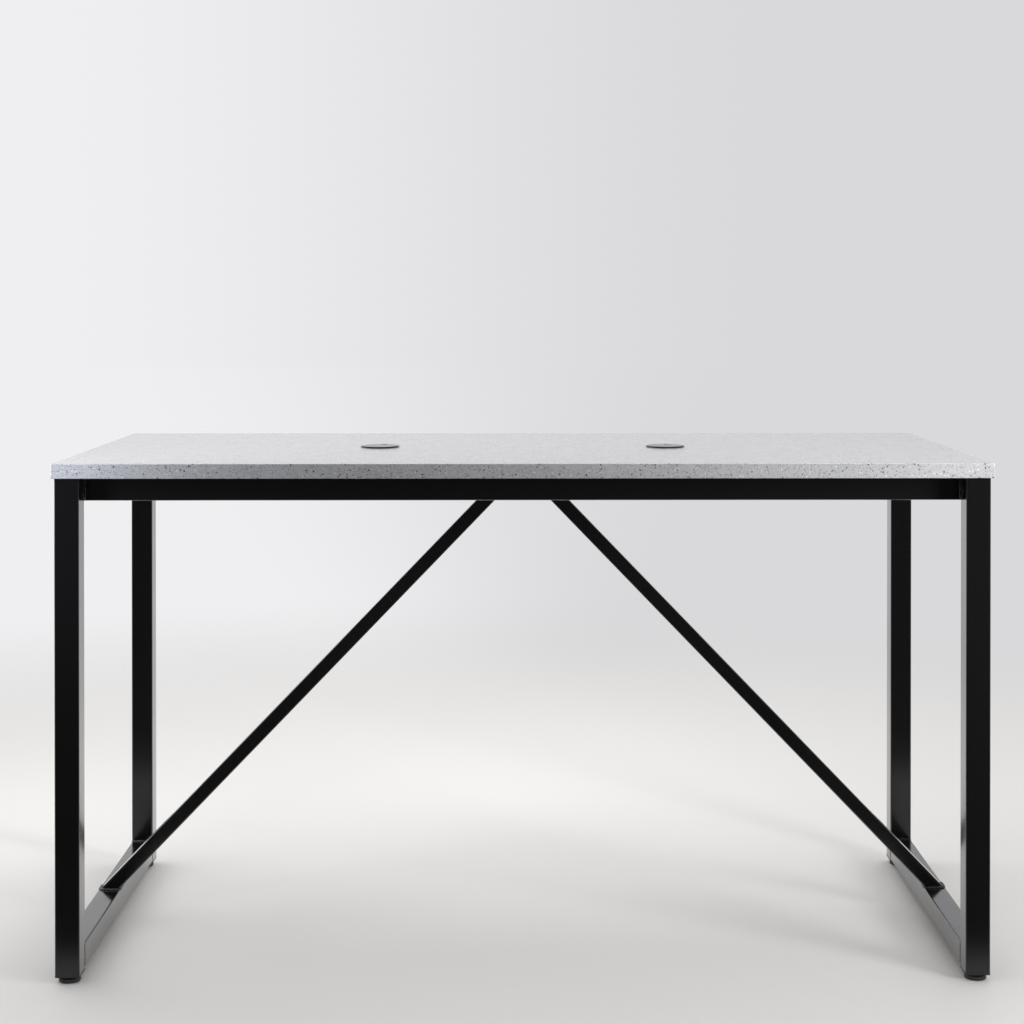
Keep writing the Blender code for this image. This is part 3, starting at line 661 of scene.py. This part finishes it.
low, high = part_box("cross_rail")
width = high.x - low.x
centre = (low + high) / 2
shape = square_tube(width, TUBE_WALL, TUBE_CORNER, high.y - low.y)
lay(shape, (centre.x, low.y, centre.z), ALONG_Y)
piece = make_piece("cross_tube", shape, powder_coat)
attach(piece, "frame")
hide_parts("cross_rail")
beads = bmesh.new()
reach = width / 2 - TUBE_CORNER / 2
for end_y, inward in ((low.y, 1), (high.y, -1)):
    for x, way in ((low.x, -1), (high.x, 1)):
        weld_bead(beads, (x, end_y, centre.z - reach), (x, end_y, centre.z + reach),
                  (way, inward, 0.0), FILLET_RADIUS, FILLET_SINK)
    y = end_y - inward * TUBE_CORNER / 2
    weld_bead(beads, (low.x, y, low.z), (high.x, y, low.z), (0.0, 0.0, -1.0),
              GROOVE_RADIUS, GROOVE_SINK)
piece = make_piece("cross_rail_welds", beads, powder_coat)
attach(piece, "frame")


# The braces: 30 mm square tube, cut on the slant at both ends. Each stands on a bottom side
# rail and leans against a side of the cross rail, with a fillet weld round each end.
BRACE_WALL = 0.002
BRACE_CORNER = 0.004

for side, side_sign in SIDES.items():
    low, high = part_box(f"brace_{side}")
    width = high.y - low.y
    half = width / 2
    lean = math.atan2(high.z - low.z, high.x - low.x)
    foot_half = half / math.sin(lean)
    head_half = half / math.cos(lean)
    foot_x = high.x - foot_half if side_sign > 0 else low.x + foot_half
    head_x = low.x if side_sign > 0 else high.x
    head_z = high.z - head_half
    length = math.hypot(head_x - foot_x, head_z - low.z)
    shape = square_tube(width, BRACE_WALL, BRACE_CORNER, length,
                        (1 / math.tan(lean), 0.0), (-math.tan(lean), 0.0))
    turn = Matrix.Rotation(math.pi if side_sign > 0 else 0.0, 4, "Z")
    lay(shape, (foot_x, 0.0, low.z), turn @ Matrix.Rotation(math.pi / 2 - lean, 4, "Y"))
    piece = make_piece(f"brace_tube_{side}", shape, powder_coat)
    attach(piece, "frame")
    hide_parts(f"brace_{side}")
    beads = bmesh.new()
    for way in (-1, 1):
        y, foot_end, head_end = way * half, foot_x + way * foot_half, head_z + way * head_half
        for start, end, outward in (
                ((foot_x - foot_half, y, low.z), (foot_x + foot_half, y, low.z), (0.0, way, 1.0)),
                ((foot_end, -half, low.z), (foot_end, half, low.z), (way, 0.0, 1.0)),
                ((head_x, y, head_z - head_half), (head_x, y, head_z + head_half),
                 (side_sign, way, 0.0)),
                ((head_x, -half, head_end), (head_x, half, head_end), (side_sign, 0.0, way))):
            weld_bead(beads, start, end, outward, FILLET_RADIUS, FILLET_SINK)
    piece = make_piece(f"brace_welds_{side}", beads, powder_coat)
    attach(piece, "frame")


# The fixings of the top: a drilled steel tab welded to the rail, a button-head screw from below,
# and a brass threaded insert bonded into the stone.
TAB_CORNER = 0.006
TAB_HOLE_SPARE = 0.0003
TAB_EDGE = 0.0004
SCREW_RADIUS = 0.003
SCREW_HEAD_RADIUS = 0.006
SCREW_HEAD_HEIGHT = 0.0033
SCREW_FLAT_RADIUS = 0.0033
SOCKET_ACROSS_FLATS = 0.004
SOCKET_DEPTH = 0.0018
TAB_BEAD_RADIUS = 0.0026
TAB_BEAD_SINK = 0.0009
SMALL_STEPS = 48  # flats on a small round

# Bright zinc, electroplated and passivated: a slightly milky mirror with a faint blue cast.
ZINC = "#c4c6c8"
ZINC_BLUE = "#b9bec4"
ZINC_WARM = "#cccac4"
zinc, tree, shader, place = start_material("bright_zinc_plated_steel", ZINC, 0.3, Metallic=1.0)
bloom = uneven_sheen(tree, shader, place, size=0.004, smoothest=0.24, roughest=0.38)
tint = add_node(tree, "ShaderNodeMix", {
    "Factor": bloom, "A": linear(ZINC_BLUE), "B": linear(ZINC_WARM)}, data_type="RGBA")
tree.links.new(tint.outputs["Result"], shader.inputs["Base Color"])

# Turned brass, a little dull where the bonding resin has touched it.
BRASS = "#c2a25a"
brass, tree, shader, place = start_material("turned_brass", BRASS, 0.32, Metallic=1.0)
uneven_sheen(tree, shader, place, size=0.003, smoothest=0.26, roughest=0.45, fineness=0.5)


def turn_profile(points, steps=SMOOTH_STEPS, closed=False):
    """Turn a profile of (radius, height) points about Z. A closed profile makes a ring."""
    shape = bmesh.new()
    verts = [shape.verts.new((radius, 0.0, height)) for radius, height in points]
    first = 0 if closed else 1
    edges = [shape.edges.new((verts[i - 1], verts[i])) for i in range(first, len(verts))]
    bmesh.ops.spin(shape, geom=verts + edges, cent=(0.0, 0.0, 0.0), axis=(0.0, 0.0, 1.0),
                   angle=2 * math.pi, steps=steps, use_merge=True)
    bmesh.ops.remove_doubles(shape, verts=shape.verts[:], dist=MERGE_DISTANCE)
    bmesh.ops.recalc_face_normals(shape, faces=shape.faces[:])
    return shape


def arc(centre, width, height, start, steps=6):
    """A quarter turn of a profile's corner, anticlockwise from start, in degrees."""
    angles = [math.radians(start + 90 * step / steps) for step in range(steps + 1)]
    return [(centre[0] + width * math.cos(a), centre[1] + height * math.sin(a)) for a in angles]


def soften(piece, width, segments=2):
    """Round the sharp edges of a piece a little."""
    edges = piece.modifiers.new("soft_edges", "BEVEL")
    edges.width = width
    edges.segments = segments


for fixing in FIXINGS:
    low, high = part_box(f"fixing_tab_{fixing}")
    centre = (low + high) / 2
    shape = round_bar_edges(block(low, high), TAB_CORNER)
    hole = rod(SCREW_RADIUS + TAB_HOLE_SPARE, (centre.x, centre.y, low.z - OVERSHOOT),
               (centre.x, centre.y, high.z + OVERSHOOT), SMALL_STEPS)
    piece = make_piece(f"fixing_plate_{fixing}", cut(shape, hole), powder_coat)
    soften(piece, TAB_EDGE)
    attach(piece, "frame")
    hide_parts(f"fixing_tab_{fixing}")
    beads = bmesh.new()
    if fixing.startswith("middle"):
        to_rail = Vector((1.0 if centre.x > 0 else -1.0, 0.0, 0.0))
        half_reach, half_width = (high.x - low.x) / 2, (high.y - low.y) / 2
    else:
        to_rail = Vector((0.0, 1.0 if centre.y > 0 else -1.0, 0.0))
        half_reach, half_width = (high.y - low.y) / 2, (high.x - low.x) / 2
    sideways = Vector((0.0, 0.0, 1.0)).cross(to_rail) * (half_width - TAB_CORNER)
    root = Vector((centre.x, centre.y, low.z)) + to_rail * half_reach
    weld_bead(beads, root - sideways, root + sideways, Vector((0.0, 0.0, -1.0)) - to_rail,
              TAB_BEAD_RADIUS, TAB_BEAD_SINK)
    piece = make_piece(f"tab_weld_{fixing}", beads, powder_coat)
    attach(piece, "frame")

    low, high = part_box(f"fixing_screw_{fixing}")
    centre = (low + high) / 2
    head_top = low.z + SCREW_HEAD_HEIGHT
    dome = arc((SCREW_FLAT_RADIUS, head_top), SCREW_HEAD_RADIUS - SCREW_FLAT_RADIUS,
               SCREW_HEAD_HEIGHT, 270)
    shape = turn_profile([(0.0, low.z), *dome, (SCREW_RADIUS, head_top), (SCREW_RADIUS, high.z),
                          (0.0, high.z)], SMALL_STEPS)
    socket = rod(SOCKET_ACROSS_FLATS / math.sqrt(3), (0.0, 0.0, low.z - OVERSHOOT),
                 (0.0, 0.0, low.z + SOCKET_DEPTH), 6)
    shape = lay(cut(shape, socket), (centre.x, centre.y, 0.0))
    piece = make_piece(f"button_head_screw_{fixing}", shape, zinc)
    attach(piece, "frame")
    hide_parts(f"fixing_screw_{fixing}")

    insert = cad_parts[f"threaded_insert_{fixing}"]
    insert.material_slots[0].material = brass


# The end inserts: a moulded plastic plug in each leg's open end. Its flange shows under the leg
# as a slightly proud edge, and its boss carries the foot's thread.
FLANGE_THICKNESS = 0.0025
FLANGE_CORNER = 0.0044
PLUG_WIDTH = 0.0454
PLUG_WALL = 0.002
PLUG_FLOOR = 0.003
PLUG_CORNER = 0.0018
BOSS_RADIUS = 0.009
INSERT_BORE = 0.0053
PLUG_EDGE = 0.0003

# Polypropylene, moulded against a spark-eroded steel face: matt, with a fine even grain.
POLYPROPYLENE = "#303032"
GRAIN_SIZE = 0.0007
GRAIN_DEPTH = 0.00006
black_plastic, tree, shader, place = start_material(
    "moulded_black_polypropylene", POLYPROPYLENE, 0.48)
uneven_sheen(tree, shader, place, size=0.012, smoothest=0.46, roughest=0.62, detail=4.0,
             fineness=0.65)
grain = add_node(tree, "ShaderNodeTexVoronoi", {
    "Vector": place, "Scale": 1 / GRAIN_SIZE}, feature="SMOOTH_F1").outputs["Distance"]
bump = add_node(tree, "ShaderNodeBump", {"Height": grain, "Strength": 0.3, "Distance": GRAIN_DEPTH})
tree.links.new(bump.outputs["Normal"], shader.inputs["Normal"])

for end in ENDS:
    for side in SIDES:
        low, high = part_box(f"end_insert_{end}_{side}")
        centre = (low + high) / 2
        height = high.z - low.z
        inside = FLANGE_THICKNESS / 2
        shape = cut(square_bar(high.x - low.x, FLANGE_CORNER, 0.0, FLANGE_THICKNESS),
                    square_bar(PLUG_WIDTH, PLUG_CORNER, inside, height), "UNION")
        shape = cut(shape, square_bar(PLUG_WIDTH - 2 * PLUG_WALL, PLUG_CORNER,
                                      FLANGE_THICKNESS + PLUG_FLOOR, 2 * height))
        boss = rod(BOSS_RADIUS, (0.0, 0.0, inside), (0.0, 0.0, height), SMALL_STEPS)
        bore = rod(INSERT_BORE, (0.0, 0.0, -height), (0.0, 0.0, 2 * height), SMALL_STEPS)
        shape = cut(cut(shape, boss, "UNION"), bore)
        lay(shape, (centre.x, centre.y, low.z))
        piece = make_piece(f"leg_end_plug_{end}_{side}", shape, black_plastic)
        soften(piece, PLUG_EDGE)
        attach(piece, "frame")
        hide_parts(f"end_insert_{end}_{side}")


# The levelling feet: a zinc plated stud with an M10 thread and a hexagon for a spanner, whose
# disc end turns in a round plastic pad.
STUD_RADIUS = 0.00495
THREAD_PITCH = 0.0015
THREAD_DEPTH = 0.0008
TOOTH_SHARES = (0.0, 0.25, 0.5625, 0.6875, 1.0)  # of a pitch, at each corner of a tooth
THREAD_STEPS = 32
THREAD_MERGE = 0.00001
STUD_TIP = 0.001
BLANK_SPARE = 0.001  # of the plain shape that trims the thread's ends
NECK_RADIUS = 0.004
DISC_RADIUS = 0.0065
DISC_THICKNESS = 0.002
HEX_ACROSS_FLATS = 0.017
HEX_HEIGHT = 0.004
HEX_BOTTOM = 0.0088
HEX_SPARE = 0.0001  # of the round shape that chamfers its corners
HEX_STEPS = 72
PAD_EDGE = 0.0015
PAD_FLOOR = 0.003
RUNNING_GAP = 0.0003


def threaded_rod(low, high):
    """A rod with a right-hand thread: one tooth of it is turned and raised a pitch at a time."""
    shape = bmesh.new()
    root = STUD_RADIUS - THREAD_DEPTH
    start = low - THREAD_PITCH
    tooth = zip((root, root, STUD_RADIUS, STUD_RADIUS, root), TOOTH_SHARES)
    verts = [shape.verts.new((radius, 0.0, start + THREAD_PITCH * share))
             for radius, share in tooth]
    edges = [shape.edges.new(pair) for pair in zip(verts, verts[1:])]
    turns = math.ceil((high - low) / THREAD_PITCH) + 2
    bmesh.ops.spin(shape, geom=verts + edges, cent=(0.0, 0.0, 0.0), axis=(0.0, 0.0, 1.0),
                   dvec=(0.0, 0.0, THREAD_PITCH / THREAD_STEPS),
                   angle=2 * math.pi * turns, steps=THREAD_STEPS * turns)
    bmesh.ops.remove_doubles(shape, verts=shape.verts[:], dist=THREAD_MERGE)
    for height, way in ((low, -1.0), (high, 1.0)):
        sawn = bmesh.ops.bisect_plane(
            shape, geom=shape.verts[:] + shape.edges[:] + shape.faces[:],
            plane_co=(0.0, 0.0, height), plane_no=(0.0, 0.0, way), clear_outer=True)
        rim = [item for item in sawn["geom_cut"] if isinstance(item, bmesh.types.BMEdge)]
        bmesh.ops.contextual_create(shape, geom=rim)
    bmesh.ops.recalc_face_normals(shape, faces=shape.faces[:])
    return shape


for end in ENDS:
    for side in SIDES:
        low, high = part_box(f"glide_stud_{end}_{side}")
        centre = (low + high) / 2
        hex_top = HEX_BOTTOM + HEX_HEIGHT
        hex_middle = HEX_BOTTOM + HEX_HEIGHT / 2
        disc_top = low.z + DISC_THICKNESS
        blank = STUD_RADIUS + BLANK_SPARE
        tip = [(0.0, HEX_BOTTOM), (blank, HEX_BOTTOM), (blank, high.z - STUD_TIP - BLANK_SPARE),
               (STUD_RADIUS - STUD_TIP, high.z), (0.0, high.z)]
        shape = cut(threaded_rod(hex_middle, high.z), turn_profile(tip, SMALL_STEPS), "INTERSECT")
        corner = HEX_ACROSS_FLATS / math.sqrt(3)
        flat = HEX_ACROSS_FLATS / 2
        chamfer = (corner - flat) / math.sqrt(3)
        widest = corner + HEX_SPARE
        nut = rod(corner, (0.0, 0.0, HEX_BOTTOM), (0.0, 0.0, hex_top), 6)
        crown = [(0.0, HEX_BOTTOM), (flat, HEX_BOTTOM), (widest, HEX_BOTTOM + chamfer),
                 (widest, hex_top - chamfer), (flat, hex_top), (0.0, hex_top)]
        shape = cut(shape, cut(nut, turn_profile(crown, HEX_STEPS), "INTERSECT"), "UNION")
        neck = [(0.0, low.z), (DISC_RADIUS, low.z), (DISC_RADIUS, disc_top),
                (NECK_RADIUS, disc_top), (NECK_RADIUS, hex_middle), (0.0, hex_middle)]
        shape = cut(shape, turn_profile(neck, SMALL_STEPS), "UNION")
        lay(shape, (centre.x, centre.y, 0.0))
        piece = make_piece(f"threaded_stud_{end}_{side}", shape, zinc)
        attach(piece, f"stud_{end}_{side}")
        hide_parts(f"glide_stud_{end}_{side}")

        low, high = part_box(f"glide_pad_{end}_{side}")
        radius = (high.y - low.y) / 2
        neck_hole = NECK_RADIUS + RUNNING_GAP
        cavity = DISC_RADIUS + RUNNING_GAP
        cavity_top = PAD_FLOOR + DISC_THICKNESS + 2 * RUNNING_GAP
        inside = radius - PAD_EDGE
        profile = [(0.0, low.z), *arc((inside, low.z + PAD_EDGE), PAD_EDGE, PAD_EDGE, 270),
                   *arc((inside, high.z - PAD_EDGE), PAD_EDGE, PAD_EDGE, 0),
                   (neck_hole, high.z), (neck_hole, cavity_top), (cavity, cavity_top),
                   (cavity, PAD_FLOOR), (0.0, PAD_FLOOR)]
        shape = lay(turn_profile(profile), (centre.x, centre.y, 0.0))
        piece = make_piece(f"foot_pad_{end}_{side}", shape, black_plastic)
        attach(piece, f"foot_{end}_{side}")
        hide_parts(f"glide_pad_{end}_{side}")


# The cable ports: a flanged plastic sleeve bonded into each hole, and a cap in its recess with a
# notch for the cables. A shutter under the cap turns on a pin to close the notch.
FLANGE_EDGE = 0.0008
RIM_WIDTH = 0.0025
SLEEVE_WALL = 0.002
LEDGE_HEIGHT = 0.0012
CAP_THICKNESS = 0.002
CAP_EDGE = 0.0005
CAP_EDGE_STEPS = 3
SKIRT_DEPTH = 0.005
SKIRT_WALL = 0.0015
PIN_RADIUS = 0.003
PIN_HEAD_RADIUS = 0.0045
PIN_HEAD_HEIGHT = 0.0012
BLADE_THICKNESS = 0.0016
BLADE_EDGE = 0.0002
HUB_RADIUS = 0.008
RIB_WIDTH = 0.0014
RIB_INNER_RADIUS = 0.0292
RIB_DROP = 0.0005
BLADE_LAP = 3.0  # degrees past each side of the notch
NOTCH_HALF_ANGLE = 14.6  # degrees
NOTCH_INNER_RADIUS = 0.022
NOTCH_STEPS = 64
NOTCH_TURNS = {"left": -15.0, "right": -12.0}  # degrees from straight back
CUTTER_REACH = 0.02  # of a cutter above and below the slab's face
LARGE_STEPS = 144  # flats on a large round

# ABS, moulded with a fine satin texture that mirrors the room only at a low angle.
ABS = "#1a1a1b"
SATIN_SIZE = 0.0005
SATIN_DEPTH = 0.00003
port_plastic, tree, shader, place = start_material("satin_black_abs", ABS, 0.14)
uneven_sheen(tree, shader, place, size=0.02, smoothest=0.11, roughest=0.18, detail=4.0)
grain = add_node(tree, "ShaderNodeTexNoise", {
    "Vector": place, "Scale": 1 / SATIN_SIZE, "Detail": 2.0}).outputs["Fac"]
bump = add_node(tree, "ShaderNodeBump", {"Height": grain, "Strength": 0.2, "Distance": SATIN_DEPTH})
tree.links.new(bump.outputs["Normal"], shader.inputs["Normal"])


def sector(radius, low, high, start, end, inner=0.0, steps=24):
    """A flat wedge or a piece of a ring about the origin, between two angles in degrees."""
    shape = bmesh.new()
    angles = [math.radians(start + (end - start) * step / steps) for step in range(steps + 1)]
    rim = [(radius, a) for a in angles]
    rim += [(inner, a) for a in reversed(angles)] if inner else [(0.0, 0.0)]
    face = shape.faces.new([shape.verts.new((reach * math.cos(a), reach * math.sin(a), low))
                            for reach, a in rim])
    raised = bmesh.ops.extrude_face_region(shape, geom=[face])["geom"]
    top = [item for item in raised if isinstance(item, bmesh.types.BMVert)]
    bmesh.ops.translate(shape, verts=top, vec=(0.0, 0.0, high - low))
    bmesh.ops.recalc_face_normals(shape, faces=shape.faces[:])
    return shape


worktop_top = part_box("worktop")[1].z
for side in SIDES:
    low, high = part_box(f"port_sleeve_{side}")
    centre = (low + high) / 2
    at_port = (centre.x, centre.y, worktop_top)
    flange_radius = (high.x - low.x) / 2
    flange_top = high.z - worktop_top
    bottom = low.z - worktop_top
    sleeve_radius = PORT_HOLE_RADIUS - RUNNING_GAP
    bore = sleeve_radius - SLEEVE_WALL
    recess = flange_radius - RIM_WIDTH
    edge_centre = (flange_radius - FLANGE_EDGE, flange_top - FLANGE_EDGE)
    profile = [(sleeve_radius, bottom), (sleeve_radius, RUNNING_GAP), (flange_radius, RUNNING_GAP),
               *arc(edge_centre, FLANGE_EDGE, FLANGE_EDGE, 0),
               (recess, flange_top), (recess, LEDGE_HEIGHT), (bore, LEDGE_HEIGHT), (bore, bottom)]
    shape = lay(turn_profile(profile, LARGE_STEPS, closed=True), at_port)
    piece = make_piece(f"port_flange_{side}", shape, port_plastic)
    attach(piece, "frame")
    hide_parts(f"port_sleeve_{side}")

    turn = Matrix.Rotation(math.radians(NOTCH_TURNS[side]), 4, "Z")
    half = math.radians(NOTCH_HALF_ANGLE)
    cap_radius = recess - RUNNING_GAP
    cap_bottom = LEDGE_HEIGHT + RUNNING_GAP
    cap_top = cap_bottom + CAP_THICKNESS
    skirt_radius = bore - RUNNING_GAP
    skirt_bore = skirt_radius - SKIRT_WALL
    blade_top = cap_bottom - RUNNING_GAP
    blade_bottom = blade_top - BLADE_THICKNESS
    head_top = blade_bottom - RUNNING_GAP
    profile = [(0.0, cap_top), (cap_radius, cap_top), (cap_radius, cap_bottom),
               (skirt_radius, cap_bottom), (skirt_radius, cap_bottom - SKIRT_DEPTH),
               (skirt_bore, cap_bottom - SKIRT_DEPTH), (skirt_bore, cap_bottom),
               (PIN_RADIUS, cap_bottom), (PIN_RADIUS, head_top), (PIN_HEAD_RADIUS, head_top),
               (PIN_HEAD_RADIUS, head_top - PIN_HEAD_HEIGHT), (0.0, head_top - PIN_HEAD_HEIGHT)]
    arc_centre = NOTCH_INNER_RADIUS / (1 - math.sin(half))
    arc_radius = arc_centre - NOTCH_INNER_RADIUS
    wedge = sector(2 * flange_radius, -CUTTER_REACH, CUTTER_REACH, 90 - NOTCH_HALF_ANGLE,
                   90 + NOTCH_HALF_ANGLE, arc_centre * math.cos(half))
    round_end = rod(arc_radius, (0.0, arc_centre, -CUTTER_REACH),
                    (0.0, arc_centre, CUTTER_REACH), NOTCH_STEPS)
    shape = cut(turn_profile(profile, LARGE_STEPS), cut(wedge, round_end, "UNION"))
    lay(shape, at_port, turn)
    piece = make_piece(f"port_lid_{side}", shape, port_plastic)
    soften(piece, CAP_EDGE, CAP_EDGE_STEPS)
    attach(piece, f"port_cap_{side}")
    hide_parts(f"port_cap_{side}")

    blade_radius = skirt_bore - RUNNING_GAP
    rib_angle = half - (RUNNING_GAP + RIB_WIDTH / 2) / RIB_INNER_RADIUS
    front = math.degrees(math.pi / 2 + rib_angle - RIB_WIDTH / 2 / blade_radius)
    blade = sector(blade_radius, blade_bottom, blade_top, front,
                   front + 2 * NOTCH_HALF_ANGLE + 2 * BLADE_LAP)
    hub = rod(HUB_RADIUS, (0.0, 0.0, blade_bottom), (0.0, 0.0, blade_top), SMALL_STEPS)
    rib = block((RIB_INNER_RADIUS, -RIB_WIDTH / 2, blade_top - BLADE_THICKNESS / 2),
                (blade_radius - RIB_WIDTH, RIB_WIDTH / 2, cap_top - RIB_DROP))
    lay(rib, (0.0, 0.0, 0.0), Matrix.Rotation(math.pi / 2 + rib_angle, 4, "Z"))
    pin_hole = rod(PIN_RADIUS + RUNNING_GAP, (0.0, 0.0, -CUTTER_REACH),
                   (0.0, 0.0, CUTTER_REACH), SMALL_STEPS)
    shape = cut(cut(cut(blade, hub, "UNION"), rib, "UNION"), pin_hole)
    lay(shape, at_port, turn)
    piece = make_piece(f"notch_shutter_{side}", shape, port_plastic)
    soften(piece, BLADE_EDGE)
    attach(piece, f"port_shutter_{side}")
    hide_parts(f"port_shutter_{side}")
